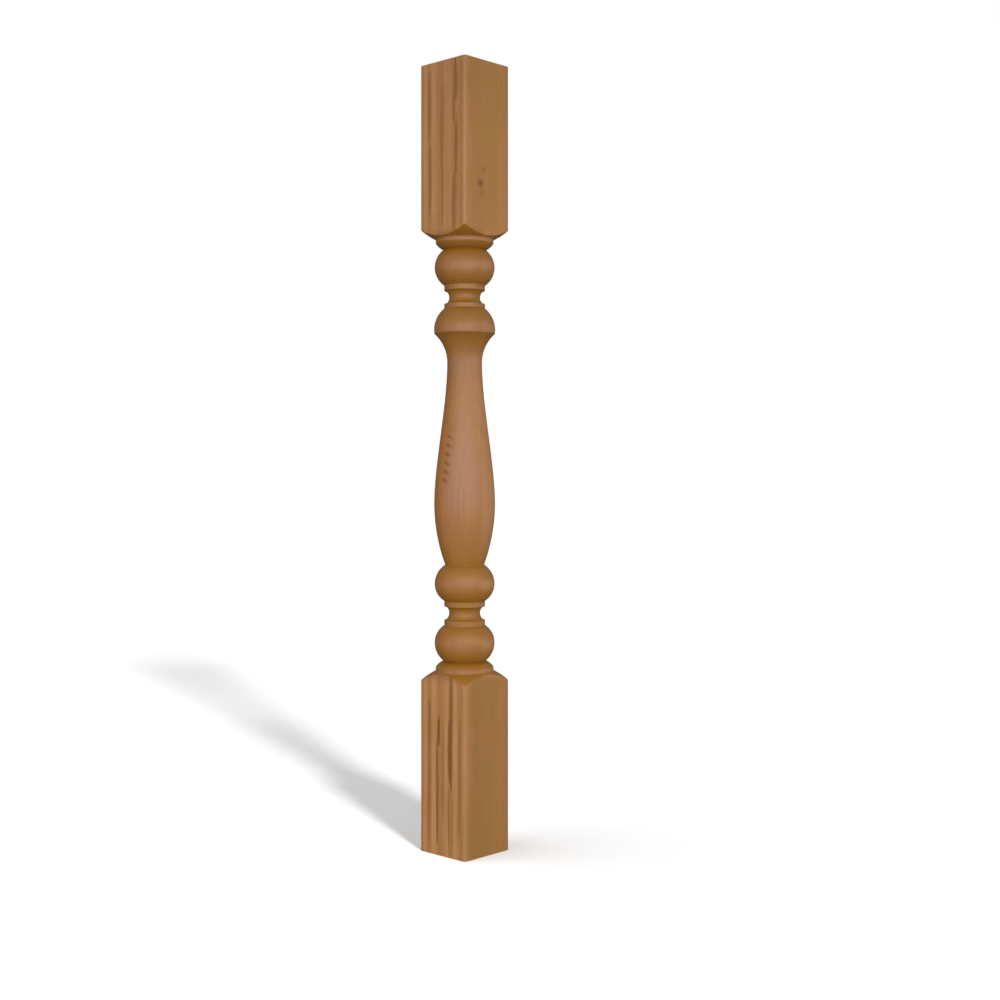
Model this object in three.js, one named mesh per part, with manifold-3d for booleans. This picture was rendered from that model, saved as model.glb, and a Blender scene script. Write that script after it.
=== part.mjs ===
// Turned deck baluster: one piece of straight-grained softwood, square at both ends and turned in the middle.
// It is made the way a lathe makes it. The square blank, with its long edges eased, meets a round envelope,
// and what both of them hold is the baluster. The turning reads upwards as a collar, a bead, a cove between
// two fillets, a second bead, a long vase that swells low and draws in to a waist, a flared crown, a second
// cove between fillets, a third bead and a second collar.
// Units are millimetres, +Z is up, and the origin is the centre of the bottom end, which it stands on.

import * as THREE from "three";
import { mergeVertices } from "three/addons/utils/BufferGeometryUtils.js";
import Module from "manifold-3d";

// The blank.
const BLANK_WIDTH = 57.15; // across the flats, 2 1/4 in
const EASED_EDGE_RADIUS = 2.4; // rounding of the four long edges
const BOTTOM_BLOCK_LENGTH = 154.6; // from the bottom end to where the shoulder leaves the edges
const TOP_BLOCK_LENGTH = 149.0;

// How deep each member of the turning lies under the flats of the blank.
const CROWN_CUT = 0.85;
const VASE_CUT = 1.0;
const BEAD_CUT = 1.4;
const COLLAR_CUT = 2.4;
const BEAD_NECK_CUT = 9.4; // the groove between a collar and its bead
const FILLET_CUT = 10.1;
const VASE_FOOT_CUT = 10.9;
const VASE_WAIST_CUT = 12.8;
const COVE_CUT = 14.6;

// How tall each member is, from the bottom up.
const LOWER_SHOULDER_HEIGHT = 8.2; // the slope from a block's edges in to its collar
const LOWER_COLLAR_BAND = 2.1; // the upright part of a collar
const LOWER_COLLAR_SLOPE = 5.4; // its sloping part, down to the groove
const LOWER_BEAD_BELOW = 16.5; // a bead below and above its crest
const LOWER_BEAD_ABOVE = 15.7;
const LOWER_BEAD_FILLET = 4.8;
const LOWER_COVE_BELOW = 6.4; // a cove below and above its narrowest point
const LOWER_COVE_ABOVE = 5.9;
const MIDDLE_BEAD_FILLET = 4.9;
const MIDDLE_BEAD_BELOW = 15.5;
const MIDDLE_BEAD_ABOVE = 17.3;
const VASE_FOOT_HEIGHT = 55.4; // from the vase's foot to its fullest point
const VASE_SWELL_HEIGHT = 127.9; // from there to its waist
const VASE_WAIST_HEIGHT = 26.0; // from the waist to the crown's edge
const CROWN_EDGE_HEIGHT = 3.5; // from the crown's edge to its crest
const CROWN_HEIGHT = 19.6; // from its crest to the fillet above
const CROWN_FILLET = 4.0;
const UPPER_COVE_BELOW = 5.7;
const UPPER_COVE_ABOVE = 6.2;
const UPPER_BEAD_FILLET = 4.8;
const UPPER_BEAD_BELOW = 16.3;
const UPPER_BEAD_ABOVE = 15.9;
const UPPER_COLLAR_SLOPE = 5.9;
const UPPER_COLLAR_BAND = 2.1;
const UPPER_SHOULDER_HEIGHT = 7.8;

// The shapes of the curves.
const SHOULDER_BULGE = 0.35; // how far a shoulder stands out from a straight cone
const SHOULDER_COVE_HEIGHT = 1.9; // the small cove where it meets its collar
const SHOULDER_COVE_DEPTH = 0.9;
const COLLAR_BULGE = 0.6; // how far a collar's slope stands out from a straight one
const COVE_STEP = 1.2; // from a fillet down to the edge of its cove
const SWELL_REACH_AT_CREST = 0.28; // how long the vase's curve stays upright at its crest and at its waist
const SWELL_REACH_AT_WAIST = 0.3;

// How finely the round forms are cut.
const TURNING_SIDES = 40;
const EDGE_STEPS = 4;
const SHOULDER_STEPS = 3;
const SMALL_COVE_STEPS = 2;
const COLLAR_STEPS = 2;
const BEAD_STEPS = 6; // from a crest to either side
const COVE_STEPS = 4; // from a waist to either side
const VASE_FOOT_STEPS = 7;
const VASE_SWELL_STEPS = 12;
const VASE_WAIST_STEPS = 6;
const CROWN_EDGE_STEPS = 2;
const CROWN_STEPS = 6;
const MERGE_DISTANCE = 1e-4;

const halfWidth = BLANK_WIDTH / 2;
const cornerRadius = (halfWidth - EASED_EDGE_RADIUS) * Math.SQRT2 + EASED_EDGE_RADIUS;
const envelopeRadius = BLANK_WIDTH; // round the blocks the envelope clears the corners

// The radius of a member that is cut so far under the flats.
function radiusAt(cut) {
  return halfWidth - cut;
}

// Under its crest the crown carries on the circle of its upper part: how far that has drawn in at its edge.
function crownEdgeDrop(crown, fillet) {
  const across = crown - fillet;
  const circle = (CROWN_HEIGHT ** 2 + across ** 2) / (2 * across);
  return circle - Math.sqrt(circle ** 2 - CROWN_EDGE_HEIGHT ** 2);
}

// The profile is drawn from the bottom up, as a pen moves: each stroke starts where the last one ended.
class Profile {
  constructor(radius, height) {
    this.points = [new THREE.Vector2(0, height), new THREE.Vector2(radius, height)];
  }

  get end() {
    return this.points[this.points.length - 1];
  }

  line(radius, rise) {
    this.points.push(new THREE.Vector2(radius, this.end.y + rise));
    return this;
  }

  // A circular arc that is upright at one of its two ends: at its far end if it comes to a crest or a waist.
  uprightArc(radius, rise, uprightAtEnd, steps) {
    const start = this.end.clone();
    const finish = new THREE.Vector2(radius, start.y + rise);
    const upright = uprightAtEnd ? finish : start;
    const other = uprightAtEnd ? start : finish;
    const across = other.x - upright.x;
    const along = other.y - upright.y;
    const turn = 2 * Math.atan2(Math.abs(across), Math.abs(along));
    const arcRadius = Math.abs(along) / Math.sin(turn);
    for (let step = 1; step <= steps; step += 1) {
      const share = uprightAtEnd ? 1 - step / steps : step / steps;
      const angle = turn * share;
      const out = arcRadius * (1 - Math.cos(angle)) * Math.sign(across);
      const up = arcRadius * Math.sin(angle) * Math.sign(along);
      this.points.push(new THREE.Vector2(upright.x + out, upright.y + up));
    }
    return this;
  }

  // A bead: it swells to its crest and draws in again.
  bead(crestRadius, riseBelow, endRadius, riseAbove) {
    this.uprightArc(crestRadius, riseBelow, true, BEAD_STEPS);
    return this.uprightArc(endRadius, riseAbove, false, BEAD_STEPS);
  }

  // A cove with a small step down to it from the fillet at either side.
  cove(waistRadius, riseBelow, riseAbove) {
    const filletRadius = this.end.x;
    const edgeRadius = filletRadius - COVE_STEP;
    this.line(edgeRadius, 0);
    this.uprightArc(waistRadius, riseBelow, true, COVE_STEPS);
    this.uprightArc(edgeRadius, riseAbove, false, COVE_STEPS);
    return this.line(filletRadius, 0);
  }

  // A long ogee, upright at both ends: the reaches are the shares of its height that it stays near upright.
  ogee(radius, rise, reachAtStart, reachAtEnd, steps) {
    const start = this.end.clone();
    const curve = new THREE.CubicBezierCurve(
      start,
      new THREE.Vector2(start.x, start.y + rise * reachAtStart),
      new THREE.Vector2(radius, start.y + rise * (1 - reachAtEnd)),
      new THREE.Vector2(radius, start.y + rise),
    );
    this.points.push(...curve.getPoints(steps).slice(1));
    return this;
  }

  // A slope that bulges outwards by a small amount at its middle.
  bulge(radius, rise, amount, steps) {
    const start = this.end.clone();
    const chord = new THREE.Vector2(radius - start.x, rise);
    const outwards = new THREE.Vector2(rise, start.x - radius).normalize();
    for (let step = 1; step <= steps; step += 1) {
      const share = step / steps;
      const lift = 4 * amount * share * (1 - share) * Math.sign(rise);
      this.points.push(start.clone().addScaledVector(chord, share).addScaledVector(outwards, lift));
    }
    return this;
  }

  // Goes back to the axis, which closes the outline.
  close() {
    this.points.push(new THREE.Vector2(0, this.end.y));
    return this.points;
  }
}

function turnedProfile() {
  const crown = radiusAt(CROWN_CUT);
  const bead = radiusAt(BEAD_CUT);
  const collar = radiusAt(COLLAR_CUT);
  const beadNeck = radiusAt(BEAD_NECK_CUT);
  const fillet = radiusAt(FILLET_CUT);
  const waist = radiusAt(VASE_WAIST_CUT);
  const cove = radiusAt(COVE_CUT);
  const shoulderFoot = collar + SHOULDER_COVE_DEPTH;
  const profile = new Profile(envelopeRadius, 0);

  profile.line(envelopeRadius, BOTTOM_BLOCK_LENGTH);
  profile.line(cornerRadius, 0);
  profile.bulge(shoulderFoot, LOWER_SHOULDER_HEIGHT, SHOULDER_BULGE, SHOULDER_STEPS);
  profile.uprightArc(collar, SHOULDER_COVE_HEIGHT, true, SMALL_COVE_STEPS);
  profile.line(collar, LOWER_COLLAR_BAND);
  profile.bulge(beadNeck, LOWER_COLLAR_SLOPE, COLLAR_BULGE, COLLAR_STEPS);
  profile.bead(bead, LOWER_BEAD_BELOW, fillet, LOWER_BEAD_ABOVE);
  profile.line(fillet, LOWER_BEAD_FILLET);
  profile.cove(cove, LOWER_COVE_BELOW, LOWER_COVE_ABOVE);
  profile.line(fillet, MIDDLE_BEAD_FILLET);
  profile.bead(bead, MIDDLE_BEAD_BELOW, radiusAt(VASE_FOOT_CUT), MIDDLE_BEAD_ABOVE);

  profile.uprightArc(radiusAt(VASE_CUT), VASE_FOOT_HEIGHT, true, VASE_FOOT_STEPS);
  profile.ogee(waist, VASE_SWELL_HEIGHT, SWELL_REACH_AT_CREST, SWELL_REACH_AT_WAIST, VASE_SWELL_STEPS);
  profile.uprightArc(crown - crownEdgeDrop(crown, fillet), VASE_WAIST_HEIGHT, false, VASE_WAIST_STEPS);

  profile.uprightArc(crown, CROWN_EDGE_HEIGHT, true, CROWN_EDGE_STEPS);
  profile.uprightArc(fillet, CROWN_HEIGHT, false, CROWN_STEPS);
  profile.line(fillet, CROWN_FILLET);
  profile.cove(cove, UPPER_COVE_BELOW, UPPER_COVE_ABOVE);
  profile.line(fillet, UPPER_BEAD_FILLET);
  profile.bead(bead, UPPER_BEAD_BELOW, beadNeck, UPPER_BEAD_ABOVE);
  profile.bulge(collar, UPPER_COLLAR_SLOPE, COLLAR_BULGE, COLLAR_STEPS);
  profile.line(collar, UPPER_COLLAR_BAND);
  profile.uprightArc(shoulderFoot, SHOULDER_COVE_HEIGHT, false, SMALL_COVE_STEPS);
  profile.bulge(cornerRadius, UPPER_SHOULDER_HEIGHT, SHOULDER_BULGE, SHOULDER_STEPS);

  profile.line(envelopeRadius, 0);
  profile.line(envelopeRadius, TOP_BLOCK_LENGTH);
  return profile.close();
}

// The square blank, a little taller than the envelope at each end so that the envelope alone sets the length.
function blankGeometry(length, spare) {
  const flat = halfWidth - EASED_EDGE_RADIUS;
  const outline = new THREE.Shape();
  for (let corner = 0; corner < 4; corner += 1) {
    const middle = Math.PI / 4 + (corner * Math.PI) / 2;
    const x = Math.sign(Math.cos(middle)) * flat;
    const y = Math.sign(Math.sin(middle)) * flat;
    outline.absarc(x, y, EASED_EDGE_RADIUS, middle - Math.PI / 4, middle + Math.PI / 4, false);
  }
  outline.closePath();
  const geometry = new THREE.ExtrudeGeometry(outline, {
    depth: length + 2 * spare,
    bevelEnabled: false,
    curveSegments: EDGE_STEPS,
  });
  return geometry.translate(0, 0, -spare);
}

// A lathe turns about Y, and the baluster stands along Z.
function envelopeGeometry(points) {
  return new THREE.LatheGeometry(points, TURNING_SIDES).rotateX(Math.PI / 2);
}

const wasm = await Module();
wasm.setup();

function solidOf(geometry) {
  const bare = geometry.clone();
  bare.deleteAttribute("normal");
  bare.deleteAttribute("uv");
  const merged = mergeVertices(bare, MERGE_DISTANCE);
  return new wasm.Manifold(
    new wasm.Mesh({
      numProp: 3,
      vertProperties: merged.attributes.position.array,
      triVerts: new Uint32Array(merged.index.array),
    }),
  );
}

function geometryOf(solid) {
  const mesh = solid.getMesh();
  const geometry = new THREE.BufferGeometry();
  geometry.setAttribute("position", new THREE.BufferAttribute(mesh.vertProperties, 3));
  geometry.setIndex(new THREE.BufferAttribute(mesh.triVerts, 1));
  geometry.computeVertexNormals();
  return geometry;
}

function balusterGeometry() {
  const points = turnedProfile();
  const length = points[points.length - 1].y;
  const blank = solidOf(blankGeometry(length, BLANK_WIDTH));
  const envelope = solidOf(envelopeGeometry(points));
  return geometryOf(blank.intersect(envelope));
}

const wood = new THREE.MeshStandardMaterial({ color: 0xa67a4b, roughness: 0.5, metalness: 0 });
const baluster = new THREE.Mesh(balusterGeometry(), wood);
baluster.name = "baluster";

const group = new THREE.Group();
group.add(baluster);

export default group;
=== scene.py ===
import math

import bpy
import numpy as np
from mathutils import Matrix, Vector


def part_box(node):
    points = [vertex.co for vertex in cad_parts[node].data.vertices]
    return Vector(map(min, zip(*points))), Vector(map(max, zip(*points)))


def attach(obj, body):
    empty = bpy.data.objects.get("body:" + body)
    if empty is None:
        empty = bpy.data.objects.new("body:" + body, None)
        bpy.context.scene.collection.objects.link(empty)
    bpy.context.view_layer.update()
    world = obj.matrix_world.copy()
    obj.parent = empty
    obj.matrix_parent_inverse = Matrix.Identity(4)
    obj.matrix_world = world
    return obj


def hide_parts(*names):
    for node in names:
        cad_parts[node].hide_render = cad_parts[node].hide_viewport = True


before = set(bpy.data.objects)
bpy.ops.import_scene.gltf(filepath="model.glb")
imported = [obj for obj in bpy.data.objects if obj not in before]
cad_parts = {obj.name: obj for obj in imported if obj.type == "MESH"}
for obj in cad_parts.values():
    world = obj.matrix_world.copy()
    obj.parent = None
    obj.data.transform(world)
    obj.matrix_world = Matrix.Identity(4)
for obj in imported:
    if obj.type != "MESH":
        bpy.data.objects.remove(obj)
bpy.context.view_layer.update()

# The turned deck baluster, in metres: one piece of straight-grained softwood with a satin finish.
# It stands on the origin, +Z up. The two faces that the camera sees are the -Y face, which shows the edges of
# the growth rings as stripes, and the +X face, which lies along the rings and is plain.

MM = 0.001
LOW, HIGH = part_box("baluster")

# The blank, as the frame has it.
LENGTH = HIGH.z - LOW.z
HALF_WIDTH = (HIGH.x - LOW.x) / 2
EASED_EDGE_RADIUS = 2.4 * MM
BOTTOM_BLOCK_LENGTH = 154.6 * MM

# How deep each member of the turning lies under the flats.
CROWN_CUT = 0.85 * MM
VASE_CUT = 1.0 * MM
BEAD_CUT = 1.4 * MM
COLLAR_CUT = 2.4 * MM
BEAD_NECK_CUT = 9.4 * MM
FILLET_CUT = 10.1 * MM
VASE_FOOT_CUT = 10.9 * MM
VASE_WAIST_CUT = 12.8 * MM
COVE_CUT = 14.6 * MM

# How tall each member is, from the bottom up.
LOWER_SHOULDER_HEIGHT = 8.2 * MM
LOWER_COLLAR_BAND = 2.1 * MM
LOWER_COLLAR_SLOPE = 5.4 * MM
LOWER_BEAD_BELOW = 16.5 * MM
LOWER_BEAD_ABOVE = 15.7 * MM
LOWER_BEAD_FILLET = 4.8 * MM
LOWER_COVE_BELOW = 6.4 * MM
LOWER_COVE_ABOVE = 5.9 * MM
MIDDLE_BEAD_FILLET = 4.9 * MM
MIDDLE_BEAD_BELOW = 15.5 * MM
MIDDLE_BEAD_ABOVE = 17.3 * MM
VASE_FOOT_HEIGHT = 55.4 * MM
VASE_SWELL_HEIGHT = 127.9 * MM
VASE_WAIST_HEIGHT = 26.0 * MM
CROWN_EDGE_HEIGHT = 3.5 * MM
CROWN_HEIGHT = 19.6 * MM
CROWN_FILLET = 4.0 * MM
UPPER_COVE_BELOW = 5.7 * MM
UPPER_COVE_ABOVE = 6.2 * MM
UPPER_BEAD_FILLET = 4.8 * MM
UPPER_BEAD_BELOW = 16.3 * MM
UPPER_BEAD_ABOVE = 15.9 * MM
UPPER_COLLAR_SLOPE = 5.9 * MM
UPPER_COLLAR_BAND = 2.1 * MM
UPPER_SHOULDER_HEIGHT = 7.8 * MM

# The shapes of the curves.
SHOULDER_BULGE = 0.35 * MM
SHOULDER_COVE_HEIGHT = 1.9 * MM
SHOULDER_COVE_DEPTH = 0.9 * MM
COLLAR_BULGE = 0.6 * MM
COVE_STEP = 1.2 * MM
SWELL_REACH_AT_CREST = 0.28
SWELL_REACH_AT_WAIST = 0.3

# How far sanding has softened the arrises of the turning, the shoulders and the sawn ends.
TURNED_ARRIS = 0.3 * MM
SHOULDER_ARRIS = 0.45 * MM
END_ARRIS = 0.4 * MM
ARRIS_CLEARANCE = 1.3  # how many arrises away from a corner the stroke's own points begin

# How finely the surface is cut.
FINE_STEP = 1.0 * MM
VASE_STEP = 2.0 * MM
ARRIS_ROWS = 4
BLOCK_ARRIS_ROWS = 6
FLAT_COLUMNS = 34
EDGE_COLUMNS = 7
BLOCK_ROWS = 16
SHOULDER_ROWS = 9
END_ROWS = 7

# How far up and down the turning a hollow is looked for, and in what steps.
HOLLOW_REACH = 5 * MM
HOLLOW_STEP = 0.25 * MM

# The view: a level camera a little over a metre away, which faces the near edge of the blocks.
CAMERA_AZIMUTH = math.radians(43.4)
CAMERA_DISTANCE = 1.318
CAMERA_HEIGHT = 0.3505
CAMERA_SIDESTEP = 0.0321  # the baluster stands a little left of the picture's middle
LENS = 52.27
SENSOR_WIDTH = 36
HORIZON_SHIFT = -0.036

# The studio: a white floor under a white dome.
FLOOR_RADIUS, FLOOR_SIDES = 9.0, 96
FLOOR_SHADE, FLOOR_GLOW = 0.83, 0.04
DOME_RADIUS, DOME_SEGMENTS, DOME_RINGS = 9.5, 64, 32

# How bright the surround is along its axis, which points up and towards the camera, and against it.
SURROUND_AXIS = (0.583, -0.617, 0.529)
SURROUND_FRONT = 0.46
SURROUND_BEHIND = 0.06


def radius_at(cut):
    """The radius of a member that lies so far under the flats."""
    return HALF_WIDTH - cut


class Profile:
    """The turning's profile, drawn upwards stroke by stroke as arrays of (radius, height)."""

    def __init__(self, radius, height):
        self.strokes = [np.array([[radius, height]])]

    @property
    def end(self):
        return self.strokes[-1][-1]

    def add(self, points):
        self.strokes.append(points)

    def line(self, radius, rise):
        """A straight stroke: start + share * (end - start)."""
        finish = np.array([radius, self.end[1] + rise])
        count = steps_in(np.linalg.norm(finish - self.end), FINE_STEP)
        self.add(self.end + shares(count)[:, None] * (finish - self.end))

    def upright_arc(self, radius, rise, upright_at_end, step=FINE_STEP):
        """A circular arc that is upright at one end: out by R (1 - cos a), up by R sin a, from that end."""
        start = self.end
        finish = np.array([radius, start[1] + rise])
        upright, other = (finish, start) if upright_at_end else (start, finish)
        across, along = other - upright
        turn = 2 * math.atan2(abs(across), abs(along))
        arc_radius = abs(along) / math.sin(turn)
        share = shares(steps_in(arc_radius * turn, step))
        angle = turn * (1 - share if upright_at_end else share)
        out = arc_radius * (1 - np.cos(angle)) * np.sign(across)
        up = arc_radius * np.sin(angle) * np.sign(along)
        self.add(upright + np.stack([out, up], 1))

    def bead(self, crest, rise_below, end_radius, rise_above):
        """Two circular arcs that meet upright at the crest."""
        self.upright_arc(crest, rise_below, True)
        self.upright_arc(end_radius, rise_above, False)

    def cove(self, waist, rise_below, rise_above):
        """Two circular arcs that meet upright at the waist, between a step in from the fillet and one out."""
        fillet = self.end[0]
        self.line(fillet - COVE_STEP, 0)
        self.upright_arc(waist, rise_below, True)
        self.upright_arc(fillet - COVE_STEP, rise_above, False)
        self.line(fillet, 0)

    def ogee(self, radius, rise, reach_at_start, reach_at_end, step):
        """A cubic Bezier curve that is upright at both ends: (1 - t)^3 a + 3 t (1 - t)^2 b + 3 t^2 (1 - t) c
        + t^3 d, with b straight above a and c straight below d."""
        start = self.end
        a = start
        b = start + [0, rise * reach_at_start]
        c = np.array([radius, start[1] + rise * (1 - reach_at_end)])
        d = np.array([radius, start[1] + rise])
        t = shares(steps_in(rise, step))[:, None]
        self.add((1 - t) ** 3 * a + 3 * t * (1 - t) ** 2 * b + 3 * t**2 * (1 - t) * c + t**3 * d)

    def bulge(self, radius, rise, amount):
        """A slope that stands out by 4 * amount * t * (1 - t) from a straight one."""
        start = self.end
        chord = np.array([radius, start[1] + rise]) - start
        outwards = np.array([rise, -chord[0]]) / math.hypot(rise, chord[0])
        t = shares(steps_in(np.linalg.norm(chord), FINE_STEP))[:, None]
        self.add(start + t * chord + outwards * 4 * amount * t * (1 - t))

    def softened(self, arris):
        """All strokes as one line: each corner is cut back by the arris and bridged by a quadratic Bezier
        curve, (1 - t)^2 into + 2 t (1 - t) corner + t^2 out."""
        clear = ARRIS_CLEARANCE * arris
        rows = [self.strokes[0]]
        last = len(self.strokes) - 1
        for number in range(1, len(self.strokes)):
            before = self.strokes[number - 1][-1]
            stroke = np.vstack([before, self.strokes[number]])
            far = np.linalg.norm(stroke - stroke[0], axis=1)
            near = np.linalg.norm(stroke - stroke[-1], axis=1)
            keep = (far > clear) & ((near > clear) | (number == last))
            rows.append(stroke[keep])
            if number == last:
                break
            following = np.vstack([stroke[-1], self.strokes[number + 1]])
            corner = stroke[-1]
            into = point_along(stroke[::-1], arris)
            out_of = point_along(following, arris)
            t = np.linspace(0, 1, ARRIS_ROWS)[:, None]
            rows.append((1 - t) ** 2 * into + 2 * t * (1 - t) * corner + t**2 * out_of)
        return np.vstack(rows)


def shares(count):
    """The shares 1/n, 2/n ... 1 of a stroke."""
    return np.arange(1, count + 1) / count


def steps_in(length, step):
    """How many steps of about this size a length is cut into."""
    return max(1, math.ceil(length / step))


def point_along(points, distance):
    """The point at a distance along a polyline from its first point, or at its middle if that is nearer."""
    lengths = np.linalg.norm(np.diff(points, axis=0), axis=1)
    at = np.concatenate([[0], np.cumsum(lengths)])
    distance = min(distance, at[-1] / 2)
    return np.array([np.interp(distance, at, points[:, 0]), np.interp(distance, at, points[:, 1])])


def crown_edge_drop(crown, fillet):
    """How far the circle of the crown's upper part has drawn in at the crown's edge."""
    across = crown - fillet
    circle = (CROWN_HEIGHT**2 + across**2) / (2 * across)
    return circle - math.sqrt(circle**2 - CROWN_EDGE_HEIGHT**2)


def turned_profile():
    """The turning between the two shoulders, from collar to collar."""
    crown = radius_at(CROWN_CUT)
    bead = radius_at(BEAD_CUT)
    collar = radius_at(COLLAR_CUT)
    bead_neck = radius_at(BEAD_NECK_CUT)
    fillet = radius_at(FILLET_CUT)
    cove = radius_at(COVE_CUT)
    profile = Profile(collar + SHOULDER_COVE_DEPTH, BOTTOM_BLOCK_LENGTH + LOWER_SHOULDER_HEIGHT)
    profile.upright_arc(collar, SHOULDER_COVE_HEIGHT, True)
    profile.line(collar, LOWER_COLLAR_BAND)
    profile.bulge(bead_neck, LOWER_COLLAR_SLOPE, COLLAR_BULGE)
    profile.bead(bead, LOWER_BEAD_BELOW, fillet, LOWER_BEAD_ABOVE)
    profile.line(fillet, LOWER_BEAD_FILLET)
    profile.cove(cove, LOWER_COVE_BELOW, LOWER_COVE_ABOVE)
    profile.line(fillet, MIDDLE_BEAD_FILLET)
    profile.bead(bead, MIDDLE_BEAD_BELOW, radius_at(VASE_FOOT_CUT), MIDDLE_BEAD_ABOVE)
    profile.upright_arc(radius_at(VASE_CUT), VASE_FOOT_HEIGHT, True, VASE_STEP)
    profile.ogee(
        radius_at(VASE_WAIST_CUT), VASE_SWELL_HEIGHT, SWELL_REACH_AT_CREST, SWELL_REACH_AT_WAIST, VASE_STEP
    )
    profile.upright_arc(crown - crown_edge_drop(crown, fillet), VASE_WAIST_HEIGHT, False)
    profile.upright_arc(crown, CROWN_EDGE_HEIGHT, True)
    profile.upright_arc(fillet, CROWN_HEIGHT, False)
    profile.line(fillet, CROWN_FILLET)
    profile.cove(cove, UPPER_COVE_BELOW, UPPER_COVE_ABOVE)
    profile.line(fillet, UPPER_BEAD_FILLET)
    profile.bead(bead, UPPER_BEAD_BELOW, bead_neck, UPPER_BEAD_ABOVE)
    profile.bulge(collar, UPPER_COLLAR_SLOPE, COLLAR_BULGE)
    profile.line(collar, UPPER_COLLAR_BAND)
    profile.upright_arc(collar + SHOULDER_COVE_DEPTH, SHOULDER_COVE_HEIGHT, False)
    return profile


def shoulder_profile(height):
    """A shoulder from its collar's small cove out to the blank's edge, as (radius, rise): a bulged slope."""
    corner = (HALF_WIDTH - EASED_EDGE_RADIUS) * math.sqrt(2) + EASED_EDGE_RADIUS
    shoulder = Profile(radius_at(COLLAR_CUT) + SHOULDER_COVE_DEPTH, 0)
    shoulder.bulge(corner, height, SHOULDER_BULGE)
    return np.vstack(shoulder.strokes)


def column_angles():
    """Angles once round: closer together on the four eased edges than on the flats between them."""
    flat = HALF_WIDTH - EASED_EDGE_RADIUS
    edge_start = math.atan2(flat, HALF_WIDTH)
    across_flat = np.linspace(-edge_start, edge_start, FLAT_COLUMNS, endpoint=False)
    across_edge = np.linspace(edge_start, math.pi / 2 - edge_start, EDGE_COLUMNS, endpoint=False)
    quarter = np.concatenate([across_flat, across_edge])
    return (quarter[None, :] + np.arange(4)[:, None] * math.pi / 2).ravel()


def square_radius(angle):
    """The distance from the axis to the square with eased edges, at an angle: half / cos a on a flat, and
    d.c + sqrt((d.c)^2 - c.c + e^2) on the edge's circle about c with radius e, seen along d."""
    folded = np.abs((angle + math.pi / 4) % (math.pi / 2) - math.pi / 4)
    flat = HALF_WIDTH - EASED_EDGE_RADIUS
    on_flat = HALF_WIDTH / np.cos(folded)
    along = flat * (np.cos(folded) + np.sin(folded))
    on_edge = along + np.sqrt(np.maximum(along**2 - 2 * flat**2 + EASED_EDGE_RADIUS**2, 0))
    return np.where(HALF_WIDTH * np.tan(folded) <= flat, on_flat, on_edge)


def bridge(first, corner, last, count):
    """A quadratic Bezier curve in every column at once: (1 - t)^2 first + 2 t (1 - t) corner + t^2 last."""
    t = np.linspace(0, 1, count)[:, None, None]
    return (1 - t) ** 2 * first + 2 * t * (1 - t) * corner + t**2 * last


def end_and_block(square, block, shoulder):
    """One end of the baluster from the middle of its sawn face to the collar, as (radius, rise) of each row
    and column, for a bottom end at rise 0 with a block so long. Each column leaves its flat where the
    shoulder's slope meets it, so the crease between them is a line of the mesh."""
    slope = shoulder[::-1]
    slope_radius, slope_rise = slope[:, 0], block + (slope[0, 1] - slope[:, 1])
    length = np.concatenate([[0], np.cumsum(np.linalg.norm(np.diff(slope, axis=0), axis=1))])
    meets = np.interp(-square, -slope_radius, length)
    meets_rise = np.interp(meets, length, slope_rise)

    share = np.sqrt(np.linspace(0, 1, END_ROWS))[1:, None]
    face = np.stack([share * (square - END_ARRIS), np.zeros((END_ROWS - 1, len(square)))], 2)
    inner = np.stack([square - END_ARRIS, np.zeros_like(square)], 1)
    edge = np.stack([square, np.zeros_like(square)], 1)
    outer = np.stack([square, np.full_like(square, END_ARRIS)], 1)
    end_arris = bridge(inner, edge, outer, BLOCK_ARRIS_ROWS)[1:]

    top = meets_rise - SHOULDER_ARRIS
    rise = END_ARRIS + np.linspace(0, 1, BLOCK_ROWS)[1:-1, None] * (top - END_ARRIS)
    side = np.stack([np.broadcast_to(square, rise.shape), rise], 2)

    leaves = meets + SHOULDER_ARRIS
    before = np.stack([square, top], 1)
    crease = np.stack([square, meets_rise], 1)
    after = np.stack([np.interp(leaves, length, slope_radius), np.interp(leaves, length, slope_rise)], 1)
    shoulder_arris = bridge(before, crease, after, BLOCK_ARRIS_ROWS)

    at = leaves + np.linspace(0, 1, SHOULDER_ROWS)[1:-1, None] * (length[-1] - leaves)
    slope_rows = np.stack([np.interp(at, length, slope_radius), np.interp(at, length, slope_rise)], 2)
    return np.concatenate([face, end_arris, side, shoulder_arris, slope_rows])


def smooth_surface(name, rows, poles):
    """A closed surface from a grid of points, (rows, columns, 3), whose columns go once round. Its quads join
    row i and i + 1, column j and j + 1, and a fan of triangles joins the first and the last row to a pole."""
    count, columns = rows.shape[:2]
    points = np.vstack([rows.reshape(-1, 3), poles])
    row = np.arange(count - 1)[:, None] * columns
    column = np.arange(columns)[None, :]
    beside = (column + 1) % columns
    quads = np.stack([row + column, row + beside, row + columns + beside, row + columns + column], 2)
    low_pole, high_pole = len(points) - 2, len(points) - 1
    edge, next_edge = column[0], beside[0]
    last = (count - 1) * columns
    low_fan = np.stack([next_edge, edge, np.full(columns, low_pole)], 1)
    high_fan = np.stack([last + edge, last + next_edge, np.full(columns, high_pole)], 1)
    mesh = bpy.data.meshes.new(name)
    mesh.from_pydata(points, [], quads.reshape(-1, 4).tolist() + low_fan.tolist() + high_fan.tolist())
    mesh.shade_smooth()
    piece = bpy.data.objects.new(name, mesh)
    bpy.context.scene.collection.objects.link(piece)
    return piece


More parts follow.
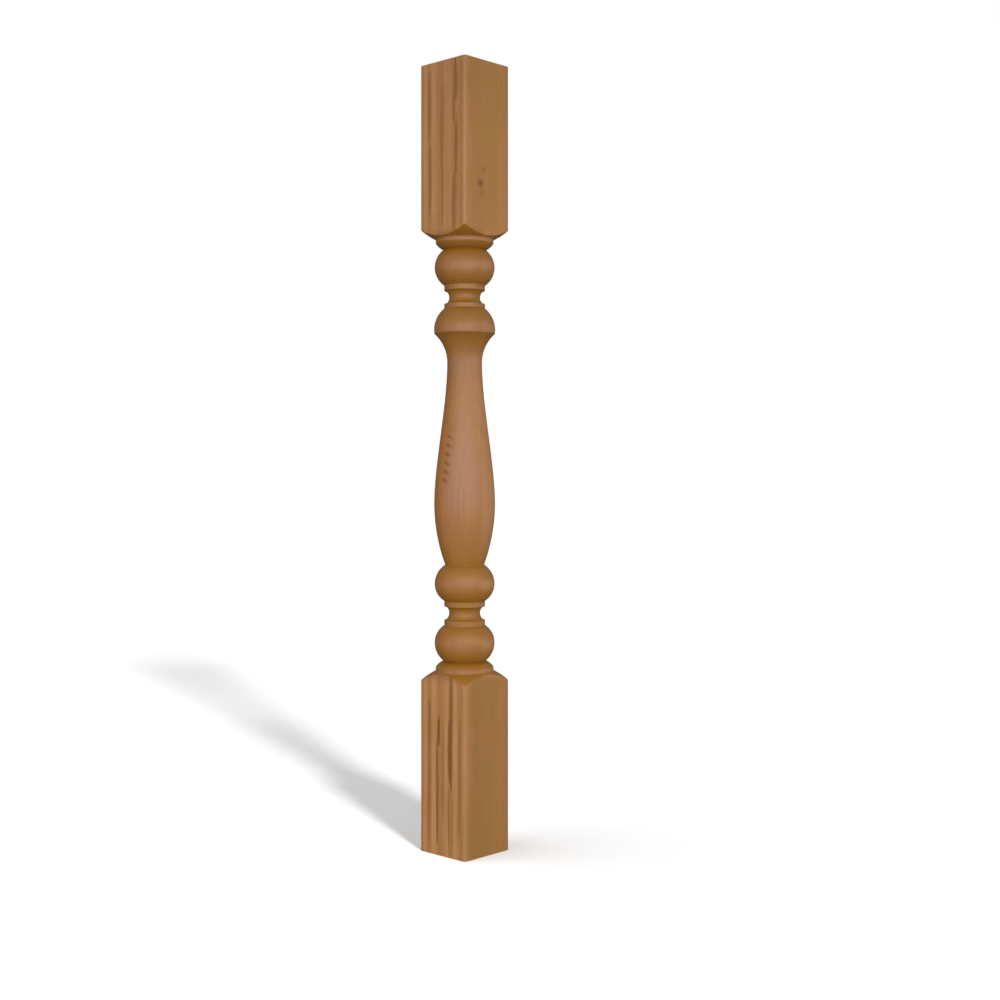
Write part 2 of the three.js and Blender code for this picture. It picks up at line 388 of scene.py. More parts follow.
def hollow_depth(rows):
    """How far each row of (radius, height) lies in a hollow: how much the mean radius of the turning within
    HOLLOW_REACH above and below it is over its own."""
    heights = rows[:, 1]
    even = np.arange(heights[0], heights[-1], HOLLOW_STEP)
    radius = np.interp(even, heights, rows[:, 0])
    total = np.concatenate([[0], np.cumsum((radius[1:] + radius[:-1]) / 2)]) * HOLLOW_STEP
    low = np.clip(heights - HOLLOW_REACH, even[0], even[-1])
    high = np.clip(heights + HOLLOW_REACH, even[0], even[-1])
    mean = (np.interp(high, even, total) - np.interp(low, even, total)) / (high - low)
    return np.maximum(mean - rows[:, 0], 0)


def add_attribute(piece, name, values):
    attribute = piece.data.attributes.new(name, "FLOAT", "POINT")
    attribute.data.foreach_set("value", values.astype(np.float32))


def add_attributes(piece, turning):
    """Two numbers at each point: how far its surface lies across the grain, which is |the normal's z|, and
    how deep in a hollow it is, in millimetres."""
    mesh = piece.data
    count = len(mesh.vertices)
    normals = np.zeros(count * 3, np.float32)
    mesh.vertex_normals.foreach_get("vector", normals)
    add_attribute(piece, "across_grain", np.abs(normals.reshape(-1, 3)[:, 2]))
    points = np.zeros(count * 3, np.float32)
    mesh.vertices.foreach_get("co", points)
    heights = points.reshape(-1, 3)[:, 2]
    hollow = np.interp(heights, turning[:, 1], hollow_depth(turning), left=0, right=0)
    add_attribute(piece, "hollow", hollow / MM)


def build_baluster():
    """The whole surface from end to end. Each point is (radius cos a, radius sin a, height) of its row and
    column."""
    angles = column_angles()
    square = square_radius(angles)
    lower = end_and_block(square, BOTTOM_BLOCK_LENGTH, shoulder_profile(LOWER_SHOULDER_HEIGHT))
    turned = turned_profile()
    top_block = LENGTH - turned.end[1] - UPPER_SHOULDER_HEIGHT
    upper = end_and_block(square, top_block, shoulder_profile(UPPER_SHOULDER_HEIGHT))
    upper = upper[::-1] * [1, -1] + [0, LENGTH]
    turning = turned.softened(TURNED_ARRIS)
    middle = np.repeat(turning[:, None, :], len(angles), axis=1)
    radius, height = np.moveaxis(np.concatenate([lower, middle, upper]), 2, 0)
    rows = np.stack([radius * np.cos(angles), radius * np.sin(angles), height], 2)
    piece = smooth_surface("turned_baluster", rows, [[0, 0, 0], [0, 0, LENGTH]])
    add_attributes(piece, turning)
    return piece


class Tone:
    """A socket that does arithmetic: every operator adds the Math node for it and gives its result."""

    def __init__(self, board, socket):
        self.board = board
        self.socket = socket

    def math(self, operation, *others):
        return self.board.node("ShaderNodeMath", {"operation": operation}, dict(enumerate((self,) + others)))

    def __add__(self, other):
        return self.math("ADD", other)

    def __sub__(self, other):
        return self.math("SUBTRACT", other)

    def __rsub__(self, other):
        return self.board.node("ShaderNodeMath", {"operation": "SUBTRACT"}, {0: other, 1: self})

    def __mul__(self, other):
        return self.math("MULTIPLY", other)

    def __truediv__(self, other):
        return self.math("DIVIDE", other)

    def __pow__(self, other):
        return self.math("POWER", other)

    def __abs__(self):
        return self.math("ABSOLUTE")

    __radd__ = __add__
    __rmul__ = __mul__

    def larger(self, other):
        return self.math("MAXIMUM", other)

    def rise(self, low, high):
        """0 below low, 1 above high and a smooth step between. With high under low it falls instead."""
        sockets = {0: self, 1: low, 2: high, 3: 0.0, 4: 1.0}
        return self.board.node("ShaderNodeMapRange", {"interpolation_type": "SMOOTHSTEP"}, sockets)

    def between(self, low, high):
        """Low where this is 0, high where it is 1, and in proportion elsewhere."""
        return self * (high - low) + low


class Board:
    """The nodes of one material, or of the world, and the shader that they feed."""

    def __init__(self, owner, shader):
        owner.use_nodes = True
        self.tree = owner.node_tree
        self.shader = self.tree.nodes[shader]

    def node(self, kind, settings=None, inputs=None, output=0):
        """Adds a node: its settings first, then the values or links of its sockets."""
        made = self.tree.nodes.new(kind)
        for name, value in (settings or {}).items():
            setattr(made, name, value)
        for key, value in (inputs or {}).items():
            self.feed(made.inputs[key], value)
        return Tone(self, made.outputs[output])

    def feed(self, socket, value):
        if isinstance(value, Tone):
            self.tree.links.new(value.socket, socket)
        else:
            socket.default_value = value

    def axes(self, vector):
        """The three parts of a vector."""
        split = self.node("ShaderNodeSeparateXYZ", None, {0: vector})
        return [Tone(self, socket) for socket in split.socket.node.outputs]

    def noise(self, vector, size, detail=2.0, roughness=0.5):
        """Noise from 0 to 1, stretched so that its features have about these sizes in millimetres."""
        scaled = self.node("ShaderNodeVectorMath", {"operation": "DIVIDE"}, {0: vector, 1: size})
        sockets = {"Vector": scaled, "Scale": 1.0, "Detail": detail, "Roughness": roughness}
        return self.node("ShaderNodeTexNoise", None, sockets)

    def line_noise(self, value, size, detail=2.0):
        """Noise from 0 to 1 along one number."""
        sockets = {"W": value / size, "Scale": 1.0, "Detail": detail, "Roughness": 0.5}
        return self.node("ShaderNodeTexNoise", {"noise_dimensions": "1D"}, sockets)

    def blend(self, share, first, second, way="MIX"):
        """Two colours mixed, so much of the second. The sockets and the output are the ones for colours."""
        settings = {"data_type": "RGBA", "blend_type": way}
        return self.node("ShaderNodeMix", settings, {0: share, 6: first, 7: second}, output=2)


def colour(red, green, blue):
    """A colour given as it looks on a screen, 0 to 255, turned to linear light for a shader's socket."""
    level = np.array([red, green, blue]) / 255
    linear = np.where(level <= 0.04045, level / 12.92, ((level + 0.055) / 1.055) ** 2.4)
    return (*linear.tolist(), 1.0)


# The wood's colours.
PALE_WOOD = colour(186, 131, 80)
ROSY_WOOD = colour(168, 113, 60)
BROWN_WOOD = colour(160, 108, 52)
TURNED_WOOD = colour(168, 107, 44)
STRAW_WOOD = colour(158, 109, 36)
# Golden is the wood's own colour in patches, and painted shade on slopes, necks and hollows.
GOLDEN_WOOD_AND_SHADE = colour(160, 104, 13)
LATE_WOOD = colour(130, 82, 24)
# The streaks' dark brown, also painted shade deep in the hollows.
DARK_STREAK_AND_SHADE = colour(116, 67, 0)
ORANGE_WOOD = colour(188, 116, 48)
# Pink for the painted sheen on the vase.
PAINTED_SHEEN_PINK = colour(170, 122, 104)

# Places in the wood are in millimetres. A pair is a soft step: nothing at the first, all at the second.

# How much darker or lighter the wood is in places.
TURNED_TONE = 0.9
# Painted shade: the upper turning darker.
UPPER_PAINTED_SHADE = 0.86
# Painted light: the bottom block lighter, away from its +X face.
BOTTOM_PAINTED_LIGHT = 1.14
# Painted shade: the top end darker.
TOP_PAINTED_SHADE = 0.92
# Painted shade on the top block's near edge, which dims its glint.
EDGE_PAINTED_SHADE = 0.88
# Where those places are, by height, by x, or by x - y at the near edge.
TURNING_FOOT, TURNING_HEAD = (155.0, 162.0), (562.0, 555.0)
UPPER_HALF = (395.0, 445.0)
BOTTOM_BLOCK, BEHIND_RIGHT_FACE = (162.0, 150.0), (28.0, 22.0)
TOP_BLOCK_END = (630.0, 700.0)
TOP_BLOCK, NEAR_EDGE = (555.0, 562.0), (50.0, 55.0)
DULLED_EDGE = (54.4, 55.2)  # sanding has left the near edge duller

# The tree's heart lies far off on the -X side, so the rings run nearly parallel to the +X face.
HEART = (-190.0, 46.0)
RING_SPACING = 3.4
RING_WAVER, RING_WAVER_SIZE = 3.0, 16.0  # how unevenly the rings are spaced, in rings, and over what depth
LATE_RISE = (0.3, 0.9)  # how the late wood comes and goes, as shares of a ring
LATE_FALL = (1.0, 0.92)
FAINTEST_RING = 0.25
# How far the rings wander: slowly across the -Y face, slowly back from it, and quickly across it.
SLOW_WANDER, SLOW_WANDER_BACK, QUICK_WANDER = 5.0, 4.0, 1.6

# The sizes of the wood's unevenness, across and along the grain.
SLOW_SIZE = (70, 70, 520)
QUICK_SIZE = (9, 9, 90)
FIBRE_SIZE = (0.45, 0.45, 18.0)
FIBRE_ROUGHNESS = 0.6
THREAD_SIZE = (1.3, 1.3, 70.0)
CLOUD_SIZE = (26, 26, 60)
RAGGED_SIZE = (1.6, 1.6, 3.0)
WIDTH_SIZE = (2.5, 2.5, 12.0)
BAND_SIZE, BAND_WANDER = 8.0, 3.0
LATHE_MARK_SIZE = 0.45

# How strongly each part of the figure shows, and at which values of its noise.
BANDS = (0.34, 0.66)
PALE_THREADS = (0.6, 1.2)  # a pale strip's strength where the threads are weakest and strongest
CLOUDS, CLOUD_SHARE = (0.45, 0.7), 0.4
TURNED_SHARE = 0.75
LATE_SHARE = 0.2
DARK_THREADS, DARK_THREAD_SHARE = (0.52, 0.72), 0.25
STEEP, STEEP_SHARE = (0.04, 0.4), 0.85  # slopes across the grain are golden: partly end grain, partly painted shade
# Painted shade in the turning's hollows: golden where shallow, then dark where deep.
HOLLOW_GOLDEN, HOLLOW_GOLDEN_SHARE = (0.0, 0.7), 0.7
HOLLOW_DARK, HOLLOW_DARK_SHARE = (1.2, 3.4), 0.45
SAWN_DEPTH, SAWN_SHARE = (-0.25, -0.05), 0.35

# The +X side is straw coloured, except at the near edge, where x - slant * y is large.
STRAW_SLANT, STRAW_EDGE, STRAW_SIDE = 2.2, (84.0, 77.0), (20.0, 26.0)
STRAW_CLOUDS, STRAW_STRENGTH = (0.35, 0.65), (0.5, 1.0)  # paler or stronger from cloud to cloud
# Upright layers of orange wood, square to the +X face: where across it, half thickness, strength.
ORANGE_LAYERS = [(15.5, 1.3, 0.5), (20.5, 2.2, 0.35)]
ORANGE_LAYER_WANDER = 3.0
ORANGE_LAYER_DEPTH = (12.0, 18.0)  # they show beyond this x
ORANGE_THREADS = (0.25, 0.6)
# The turned wood is paler on its +X side, by y and by x.
PALE_SIDE, PALE_SIDE_DEPTH, PALE_SIDE_SHARE = (-9.0, -1.0), (4.0, 10.0), 0.75
# A painted sheen makes the vase's middle pinkish on its near side: by height, and by x - slant * y.
BELLY_FOOT, BELLY_HEAD = (290.0, 330.0), (440.0, 400.0)
BELLY_SLANT, BELLY_FRONT, BELLY_SHARE = 1.3, (28.0, 40.0), 0.4

# Dark streaks on the -Y face: where across, lowest and highest point, half width, strength.
STREAKS = [
    (-6.2, 98.0, 125.0, 1.9, 1.0),
    (-8.2, 8.0, 106.0, 1.7, 0.85),
    (-0.4, 30.0, 118.0, 1.2, 0.5),
    (7.4, 66.0, 124.0, 1.9, 0.9),
    (9.2, 58.0, 166.0, 1.8, 0.9),
    (6.6, 8.0, 60.0, 1.3, 0.5),
    (11.4, 6.0, 54.0, 1.2, 0.35),
    (-18.2, 84.0, 140.0, 1.7, 0.6),
    (-18.2, 6.0, 96.0, 1.7, 0.5),
    (20.2, 20.0, 130.0, 1.5, 0.5),
    (-18.2, 640.0, 704.0, 1.8, 0.6),
    (-17.6, 572.0, 640.0, 2.0, 0.6),
    (-2.6, 606.0, 692.0, 1.5, 0.55),
    (0.8, 630.0, 690.0, 1.1, 0.4),
    (-1.4, 566.0, 616.0, 1.8, 0.4),
    (15.2, 672.0, 711.0, 2.6, 0.7),
    (13.0, 650.0, 690.0, 1.9, 0.65),
    (15.6, 606.0, 655.0, 2.4, 0.7),
    (13.6, 556.0, 612.0, 3.0, 0.6),
]
STREAK_FIBRES = (0.88, 1.18)  # a streak's strength where the fibres are weakest and strongest
STREAK_GONE, STREAK_WHOLE = 14.0, 14.0 / 3  # how far behind the -Y face a streak has faded, or is whole
STREAK_WANDER, STREAK_SWAY, STREAK_SWAY_SIZE = 1.6, 1.6, 60.0
FIGURE_SHIFT = 1.8  # how far the wander carries the streaks, on average
# Pale strips on the -Y face, in the same way. They run on past the ends.
PALE_STRIPS = [
    (-23.6, -300.0, 1000.0, 3.0, 0.8),
    (-12.4, -300.0, 1000.0, 3.6, 0.85),
    (-12.4, -300.0, 200.0, 4.0, 1.0),
    (3.0, -300.0, 1000.0, 2.6, 0.6),
    (3.4, -300.0, 200.0, 3.2, 1.0),
    (14.6, -300.0, 200.0, 3.4, 1.0),
    (7.5, 480.0, 1000.0, 3.0, 0.5),
    (26.5, -300.0, 1000.0, 3.8, 0.5),
]
# Golden patches on the -Y face and orange ones on the vase, in the same way.
GOLDEN_PATCHES = [(16.0, 632.0, 664.0, 3.6, 0.8), (16.6, 590.0, 616.0, 3.4, 0.7)]
ORANGE_PATCHES = [(-5.0, 310.0, 386.0, 4.5, 0.6), (-3.0, 268.0, 324.0, 3.5, 0.5)]
ORANGE_PATCH_FRONT, ORANGE_PATCH_THREADS = (-10.0, -16.0), (0.2, 0.6)
# The two necks between beads are golden, painted shade in these recesses: how high, half height, strength.
NECKS = [(214.5, 12.0, 0.7), (501.0, 12.0, 0.9)]
# Small dark spots on the +X face: where across, how high, half size, strength.
SPOTS = [(-8.8, 600.5, 3.2, 1.0), (-4.9, 613.2, 2.4, 0.6), (-8.0, 592.0, 3.2, 0.35)]
SPOT_FACE, SPOT_SHARE = (20.0, 24.0), 0.9

# The ladder of short dark dashes on the vase, where a ring just grazes its surface.
LADDER_LOW, LADDER_HIGH, LADDER_FADE = 331.0, 384.0, 6.0
LADDER_STEP = 8.0
LADDER_FOOT, LADDER_LEAN = 1.2, 0.04
LADDER_WIDTH, LADDER_WIDTH_ROUGHNESS = (4.6, 1.4), 1.5
LADDER_RUNG, LADDER_RUNG_TILT, LADDER_RUNG_ROUGHNESS = (-0.1, 0.7), 0.4, 3.0
LADDER_FRONT, LADDER_SHARE = (-12.0, -16.0), 0.75

# How soft the edges of layers, slivers and spots are, in shares of their half widths.
LAYER_EDGE = (1.6, 0.3)
SLIVER_EDGE = (1.55, 0.1)
SLIVER_TIP = 0.02
SPOT_EDGE = (1.8, 0.2)

# The satin finish, and the relief under it.
SATIN = 0.40
LATE_POLISH, FIBRE_DULLNESS, EDGE_DULLNESS, SAWN_DULLNESS = 0.05, 0.06, 0.15, 0.3
FIBRE_SHADE = (0.9, 1.1)  # the wood's brightness where the fibres are weakest and strongest
FIBRE_RELIEF, LATE_RELIEF, LATHE_RELIEF, THREAD_RELIEF = 0.5, 0.35, 0.35, 0.3
RELIEF_STRENGTH, RELIEF_DEPTH = 0.35, 0.12 * MM
WOOD_IOR, WOOD_SPECULAR = 1.5, 0.8


def largest(marks):
    """Several masks as one: the strongest of them at each point."""
    together = marks[0]
    for one in marks[1:]:
        together = together.larger(one)
    return together


def layers(places, across):
    """Flat layers together: each is |across - centre| < half thickness, softly."""
    return largest([
        abs(across - centre).rise(half * LAYER_EDGE[0], half * LAYER_EDGE[1]) * strength
        for centre, half, strength in places
    ])


class Wood:
    """The wood at a point: its place in millimetres, its growth ring, and the noises of its figure."""

    def __init__(self, board):
        place = board.node("ShaderNodeTexCoord", None, None, "Object")
        point = board.node("ShaderNodeVectorMath", {"operation": "SCALE"}, {0: place, "Scale": 1 / MM})
        self.board = board
        self.x, self.y, self.z = board.axes(point)
        self.slow = board.noise(point, SLOW_SIZE, detail=1.0) - 0.5
        self.quick = board.noise(point, QUICK_SIZE) - 0.5
        self.fibre = board.noise(point, FIBRE_SIZE, detail=3.0, roughness=FIBRE_ROUGHNESS)
        self.thread = board.noise(point, THREAD_SIZE)
        self.cloud = board.noise(point, CLOUD_SIZE)
        self.ragged = board.noise(point, RAGGED_SIZE) - 0.5
        self.width = board.noise(point, WIDTH_SIZE) + 0.5
        self.depth = self.depth_from_heart()
        self.late = self.late_wood()
        sway = (board.line_noise(self.z, STREAK_SWAY_SIZE) - 0.5) * STREAK_SWAY
        self.shifted = self.x - FIGURE_SHIFT + self.quick * STREAK_WANDER + sway
        front = -HALF_WIDTH / MM
        self.on_front = self.y.rise(front + STREAK_GONE, front + STREAK_WHOLE)
        self.turned = self.z.rise(*TURNING_FOOT) * self.z.rise(*TURNING_HEAD)
        half_length = LENGTH / MM / 2
        self.sawn = (abs(self.z - half_length) - half_length).rise(*SAWN_DEPTH)

    def depth_from_heart(self):
        """sqrt(dx^2 + dy^2) from the heart, with the point moved by noise so that the rings wander."""
        away_x = self.x + self.slow * SLOW_WANDER + self.quick * QUICK_WANDER - HEART[0]
        away_y = self.y + self.slow * SLOW_WANDER_BACK - HEART[1]
        return (away_x * away_x + away_y * away_y) ** 0.5

    def late_wood(self):
        """Each ring darkens slowly to its late wood and ends at once, and each ring has its own strength."""
        waver = self.board.line_noise(self.depth, RING_WAVER_SIZE) * RING_WAVER
        phase = self.depth / RING_SPACING + waver
        number = phase.math("FLOOR")
        in_ring = phase.math("FRACT")
        strength = self.board.node("ShaderNodeTexWhiteNoise", {"noise_dimensions": "1D"}, {"W": number})
        strength = strength * (1 - FAINTEST_RING) + FAINTEST_RING
        return in_ring.rise(*LATE_RISE) * in_ring.rise(*LATE_FALL) * strength

    def slivers(self, places):
        """Slivers together: each is |x - centre| < half width * sqrt(1 - u^2), where u goes from -1 to 1
        along it, with an edge as soft as it is wide."""
        marks = []
        for centre, low, high, half_width, strength in places:
            along = abs((self.z - (low + high) / 2) / ((high - low) / 2))
            taper = (1.0 - along * along).larger(0.0) ** 0.5
            across = abs(self.shifted - centre) / (taper * self.width * half_width + SLIVER_TIP)
            marks.append(across.rise(*SLIVER_EDGE) * strength)
        return largest(marks)

    def spots(self):
        """Small soft spots on the +X face: distance from a centre, roughened by noise."""
        marks = []
        for across, height, size, strength in SPOTS:
            off_y, off_z = self.y - across, self.z - height
            distance = (off_y * off_y + off_z * off_z) ** 0.5 + self.ragged * size
            marks.append(distance.rise(size * SPOT_EDGE[0], size * SPOT_EDGE[1]) * strength)
        return largest(marks) * self.x.rise(*SPOT_FACE)

    def ladder(self):
        """Dashes one above another: peaks of a cosine up the vase, which lean a little, in a narrow soft band
        across it."""
        x, z = self.x, self.z
        foot = (z - LADDER_LOW) * LADDER_LEAN + LADDER_FOOT
        band = abs(x - foot + self.ragged * LADDER_WIDTH_ROUGHNESS).rise(*LADDER_WIDTH)
        rung = z + x * LADDER_RUNG_TILT + self.ragged * LADDER_RUNG_ROUGHNESS
        rungs = (rung * (2 * math.pi / LADDER_STEP)).math("COSINE").rise(*LADDER_RUNG)
        ends = z.rise(LADDER_LOW, LADDER_LOW + LADDER_FADE) * z.rise(LADDER_HIGH, LADDER_HIGH - LADDER_FADE)
        return band * rungs * ends * self.y.rise(*LADDER_FRONT)


def broad_figure(wood):
    """The broad colours: bands that follow the rings, pale strips, clouds, the straw side and the turning."""
    board, x, y, z = wood.board, wood.x, wood.y, wood.z
    bands = board.line_noise(wood.depth + wood.quick * BAND_WANDER, BAND_SIZE, detail=3.0)
    tint = board.blend(bands.rise(*BANDS), BROWN_WOOD, ROSY_WOOD)
    strips = wood.slivers(PALE_STRIPS) * wood.on_front
    tint = board.blend(strips * wood.thread.between(*PALE_THREADS), tint, PALE_WOOD)
    tint = board.blend(wood.cloud.rise(*CLOUDS) * CLOUD_SHARE, tint, STRAW_WOOD)
    straw = (x - y * STRAW_SLANT).rise(*STRAW_EDGE) * x.rise(*STRAW_SIDE)
    straw = straw * wood.cloud.rise(*STRAW_CLOUDS).between(*STRAW_STRENGTH)
    tint = board.blend(straw, tint, STRAW_WOOD)
    tint = board.blend(wood.turned * TURNED_SHARE, tint, TURNED_WOOD)
    pale_side = wood.turned * y.rise(*PALE_SIDE) * x.rise(*PALE_SIDE_DEPTH)
    tint = board.blend(pale_side * PALE_SIDE_SHARE, tint, PALE_WOOD)
    # Painted sheen: the vase's middle pinkish where it faces the front.
    belly_sheen = z.rise(*BELLY_FOOT) * z.rise(*BELLY_HEAD) * (x - y * BELLY_SLANT).rise(*BELLY_FRONT)
    tint = board.blend(belly_sheen * BELLY_SHARE, tint, PAINTED_SHEEN_PINK)
    orange = layers(ORANGE_LAYERS, y + wood.quick * ORANGE_LAYER_WANDER) * x.rise(*ORANGE_LAYER_DEPTH)
    return board.blend(orange * wood.thread.rise(*ORANGE_THREADS), tint, ORANGE_WOOD)


def fine_figure(wood, tint):
    """The fine marks: late wood, threads, patches, streaks, spots and the ladder."""
    board, thread = wood.board, wood.thread
    tint = board.blend(wood.late * LATE_SHARE, tint, LATE_WOOD)
    tint = board.blend(thread.rise(*DARK_THREADS) * DARK_THREAD_SHARE, tint, LATE_WOOD)
    tint = board.blend(wood.slivers(GOLDEN_PATCHES) * wood.on_front, tint, GOLDEN_WOOD_AND_SHADE)
    streaks = wood.slivers(STREAKS) * wood.on_front
    tint = board.blend(streaks * wood.fibre.between(*STREAK_FIBRES), tint, DARK_STREAK_AND_SHADE)
    tint = board.blend(wood.spots() * SPOT_SHARE, tint, DARK_STREAK_AND_SHADE)
    patches = wood.slivers(ORANGE_PATCHES) * wood.y.rise(*ORANGE_PATCH_FRONT)
    tint = board.blend(patches * thread.rise(*ORANGE_PATCH_THREADS), tint, ORANGE_WOOD)
    return board.blend(wood.ladder() * LADDER_SHARE, tint, DARK_STREAK_AND_SHADE)


def slopes_and_hollows(wood, tint):
    """Painted shade: golden necks, hollows golden then dark, and golden slopes, partly the end grain's
    colour.
    """
    board = wood.board
    across = board.node("ShaderNodeAttribute", {"attribute_name": "across_grain"}, None, "Fac")
    hollow = board.node("ShaderNodeAttribute", {"attribute_name": "hollow"}, None, "Fac")
    # Painted shade, with the end grain's own colour, on slopes that face up or down.
    tint = board.blend(across.rise(*STEEP) * STEEP_SHARE, tint, GOLDEN_WOOD_AND_SHADE)
    # Painted shade in the hollows and the necks.
    tint = board.blend(hollow.rise(*HOLLOW_GOLDEN) * HOLLOW_GOLDEN_SHARE, tint, GOLDEN_WOOD_AND_SHADE)
    tint = board.blend(layers(NECKS, wood.z), tint, GOLDEN_WOOD_AND_SHADE)
    return board.blend(hollow.rise(*HOLLOW_DARK) * HOLLOW_DARK_SHARE, tint, DARK_STREAK_AND_SHADE)


def toned(wood, tint):
    """The tint made darker or lighter by the fibres, and by place: mostly painted shade and light."""
    board, x, y, z = wood.board, wood.x, wood.y, wood.z
    # Painted shade on the upper turning, the top end and the top block's near edge; painted light on the
    # bottom block.
    upper = wood.turned * z.rise(*UPPER_HALF)
    bottom = z.rise(*BOTTOM_BLOCK) * x.rise(*BEHIND_RIGHT_FACE)
    top_edge_shade = z.rise(*TOP_BLOCK) * (x - y).rise(*NEAR_EDGE)
    shade = wood.fibre.between(*FIBRE_SHADE)
    shade = shade * wood.turned.between(1.0, TURNED_TONE) * upper.between(1.0, UPPER_PAINTED_SHADE)
    shade = shade * bottom.between(1.0, BOTTOM_PAINTED_LIGHT) * top_edge_shade.between(1.0, EDGE_PAINTED_SHADE)
    shade = shade * z.rise(*TOP_BLOCK_END).between(1.0, TOP_PAINTED_SHADE)
    grey = board.node("ShaderNodeCombineColor", None, {0: shade, 1: shade, 2: shade})
    return board.blend(1.0, tint, grey, "MULTIPLY")


def satin_softwood():
    """Straight-grained softwood. The growth rings are circles about a far heart, made to wander by noise, and
    each ring darkens to its late wood. Bands, layers and streaks follow the same rings, so the grain goes
    right through the piece."""
    material = bpy.data.materials.new("satin_softwood")
    board = Board(material, "Principled BSDF")
    wood = Wood(board)
    tint = toned(wood, slopes_and_hollows(wood, fine_figure(wood, broad_figure(wood))))
    tint = board.blend(wood.sawn * SAWN_SHARE, tint, LATE_WOOD)
    board.feed(board.shader.inputs["Base Color"], tint)

    dulled = (wood.x - wood.y).rise(*DULLED_EDGE)
    roughness = SATIN - wood.late * LATE_POLISH + wood.fibre * FIBRE_DULLNESS
    roughness = roughness + dulled * EDGE_DULLNESS + wood.sawn * SAWN_DULLNESS
    board.feed(board.shader.inputs["Roughness"], roughness)

    lathe = board.line_noise(wood.z, LATHE_MARK_SIZE) * wood.turned
    relief = wood.fibre * FIBRE_RELIEF + wood.late * LATE_RELIEF + lathe * LATHE_RELIEF
    relief = relief + wood.thread * THREAD_RELIEF
    sockets = {"Strength": RELIEF_STRENGTH, "Distance": RELIEF_DEPTH, "Height": relief}
    bump = board.node("ShaderNodeBump", None, sockets, "Normal")
    board.feed(board.shader.inputs["Normal"], bump)
    board.shader.inputs["IOR"].default_value = WOOD_IOR
    board.shader.inputs["Specular IOR Level"].default_value = WOOD_SPECULAR
    return material


def plain(name, shade, glow):
    """A plain matt surface for the studio, with a little light of its own."""
    material = bpy.data.materials.new(name)
    shader = Board(material, "Principled BSDF").shader
    shader.inputs["Base Color"].default_value = (shade, shade, shade, 1)
    shader.inputs["Roughness"].default_value = 1.0
    shader.inputs["Specular IOR Level"].default_value = 0.0
    shader.inputs["Emission Color"].default_value = (1, 1, 1, 1)
    shader.inputs["Emission Strength"].default_value = glow
    return material


def seen_by_camera_alone(thing, casts_shadow):
    """Hides a thing from every ray but the camera's own."""
    thing.visible_diffuse = False
    thing.visible_glossy = False
    thing.visible_transmission = False
    thing.visible_volume_scatter = False
    thing.visible_shadow = casts_shadow


def studio():
    """A white floor and a white dome that only the camera sees, so that the piece keeps its own shading."""
    bpy.ops.mesh.primitive_circle_add(vertices=FLOOR_SIDES, radius=FLOOR_RADIUS, fill_type="NGON")
    floor = bpy.context.object
    floor.name = "floor"
    floor.data.materials.append(plain("white_floor", FLOOR_SHADE, FLOOR_GLOW))
    seen_by_camera_alone(floor, True)
    bpy.ops.mesh.primitive_uv_sphere_add(segments=DOME_SEGMENTS, ring_count=DOME_RINGS, radius=DOME_RADIUS)
    dome = bpy.context.object
    dome.name = "dome"
    dome.data.materials.append(plain("white_dome", 0.0, 1.0))
    seen_by_camera_alone(dome, False)
    return floor


def from_direction(azimuth, elevation):
    """The direction of a light as seen from the piece. Azimuth 0 lies at -Y and 90 at +X."""
    a, e = math.radians(azimuth), math.radians(elevation)
    return Vector((math.sin(a) * math.cos(e), -math.cos(a) * math.cos(e), math.sin(e)))


def sun(name, azimuth, elevation, strength, spread):
    """A soft light from far off, whose spread is its angle across. It leaves no glint."""
    data = bpy.data.lights.new(name, "SUN")
    data.energy = strength
    data.angle = math.radians(spread)
    lamp = bpy.data.objects.new(name, data)
    bpy.context.scene.collection.objects.link(lamp)
    lamp.rotation_euler = from_direction(azimuth, elevation).to_track_quat("Z", "Y").to_euler()
    lamp.visible_glossy = False
    return lamp


def soft_box(name, azimuth, distance, height, size, radiance):
    """An upright glowing panel, of a width and a height, that faces the piece's axis at its own height."""
    data = bpy.data.lights.new(name, "AREA")
    data.shape = "RECTANGLE"
    data.size, data.size_y = size
    data.energy = radiance * math.pi * size[0] * size[1]
    lamp = bpy.data.objects.new(name, data)
    bpy.context.scene.collection.objects.link(lamp)
    towards = from_direction(azimuth, 0)
    lamp.location = towards * distance + Vector((0, 0, height))
    lamp.rotation_euler = towards.to_track_quat("Z", "Y").to_euler()
    lamp.visible_camera = False
    return lamp


def surround():
    """Dim light from everywhere. Its strength rises with d.axis, for a direction d, from the darkest behind
    and below to the brightest in front and above."""
    world = bpy.data.worlds.new("soft_surround")
    bpy.context.scene.world = world
    board = Board(world, "Background")
    direction = board.node("ShaderNodeTexCoord", None, None, "Generated")
    sockets = {0: direction, 1: SURROUND_AXIS}
    along_axis = board.node("ShaderNodeVectorMath", {"operation": "DOT_PRODUCT"}, sockets, "Value")
    strength = ((along_axis + 1.0) / 2.0).between(SURROUND_BEHIND, SURROUND_FRONT)
    board.feed(board.shader.inputs["Strength"], strength)
    board.shader.inputs["Color"].default_value = (1, 1, 1, 1)


def lights_only(target, lamps):
    """Keeps lamps to one object, so that the floor's brightness and the piece's are set apart."""
    receivers = bpy.data.collections.new("light_on_" + target.name)
    receivers.objects.link(target)
    for lamp in lamps:
        lamp.light_linking.receiver_collection = receivers


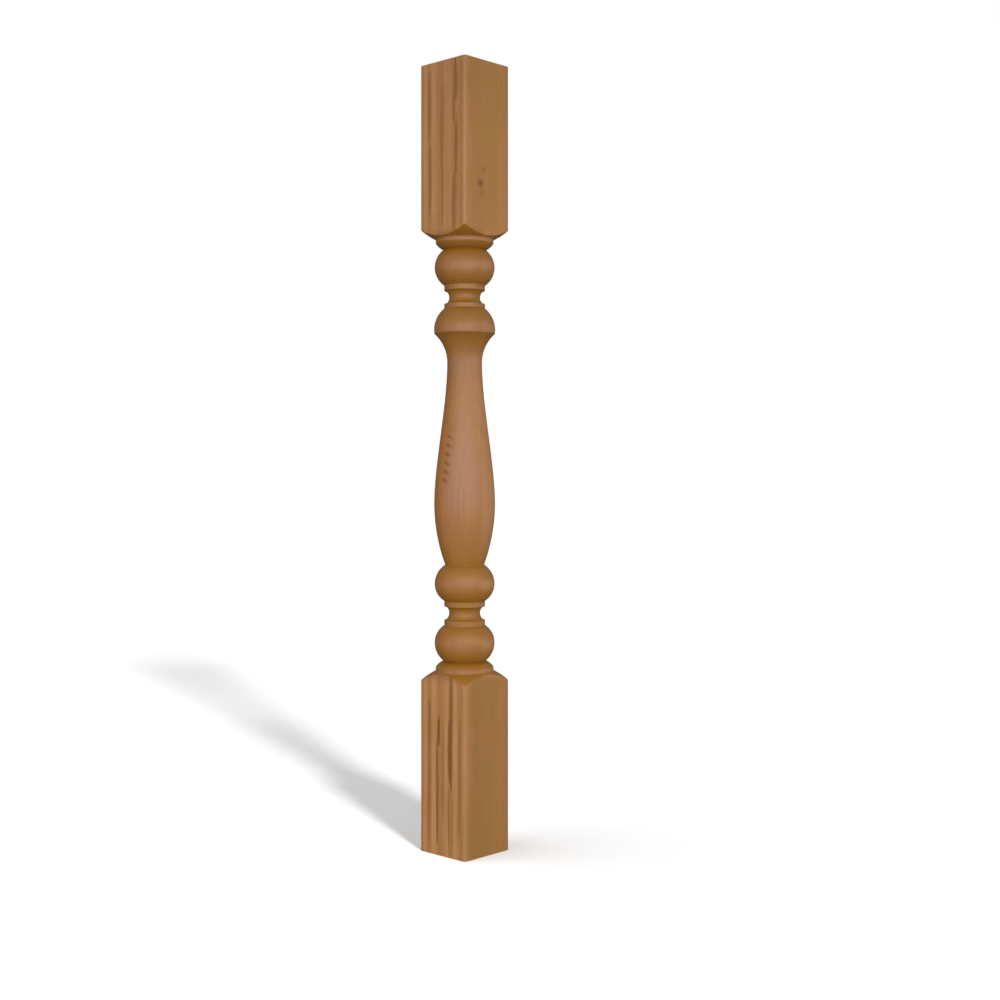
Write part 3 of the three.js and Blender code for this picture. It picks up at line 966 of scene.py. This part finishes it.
def lights(piece, floor):
    """Panels and soft suns for the piece, and two suns for the floor and its shadows. The low fill brightens
    the bottom block and leaves no glint. The low sheen leaves a glint and brightens nothing."""
    surround()
    low_fill = soft_box("low_fill", azimuth=62, distance=1.3, height=0.1, size=(2.0, 0.5), radiance=3.2)
    low_fill.visible_glossy = False
    low_sheen = soft_box("low_sheen", azimuth=56, distance=0.8, height=0.38, size=(2.2, 0.2), radiance=0.95)
    low_sheen.visible_diffuse = False
    lights_only(piece, [
        soft_box("front_panel", azimuth=56, distance=0.8, height=0.68, size=(2.2, 0.28), radiance=1.9),
        low_fill,
        low_sheen,
        sun("left_light", azimuth=-18, elevation=2, strength=1.1, spread=50),
        sun("right_light", azimuth=152, elevation=0, strength=0.85, spread=50),
        sun("right_fill", azimuth=92, elevation=0, strength=0.12, spread=50),
        sun("back_light", azimuth=223, elevation=5, strength=1.6, spread=60),
        sun("top_light", azimuth=43, elevation=75, strength=0.3, spread=60),
        sun("floor_glow", azimuth=43, elevation=-60, strength=0.15, spread=60),
    ])
    lights_only(floor, [
        sun("long_shadow_light", azimuth=67, elevation=27, strength=3.7, spread=7),
        sun("short_shadow_light", azimuth=-38, elevation=76, strength=1.15, spread=22),
    ])


def camera():
    """A level camera that looks along its azimuth past the piece's axis."""
    data = bpy.data.cameras.new("camera")
    data.lens = LENS
    data.sensor_width = SENSOR_WIDTH
    data.shift_y = HORIZON_SHIFT
    eye = bpy.data.objects.new("camera", data)
    bpy.context.scene.collection.objects.link(eye)
    back = Vector((math.sin(CAMERA_AZIMUTH), -math.cos(CAMERA_AZIMUTH), 0))
    right = Vector((math.cos(CAMERA_AZIMUTH), math.sin(CAMERA_AZIMUTH), 0))
    eye.location = back * CAMERA_DISTANCE + right * CAMERA_SIDESTEP + Vector((0, 0, CAMERA_HEIGHT))
    eye.rotation_euler = back.to_track_quat("Z", "Y").to_euler()
    bpy.context.scene.camera = eye


camera()
baluster = build_baluster()
baluster.data.materials.append(satin_softwood())
lights(baluster, studio())
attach(baluster, "root")
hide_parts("baluster")
bpy.context.scene.view_settings.view_transform = "Standard"
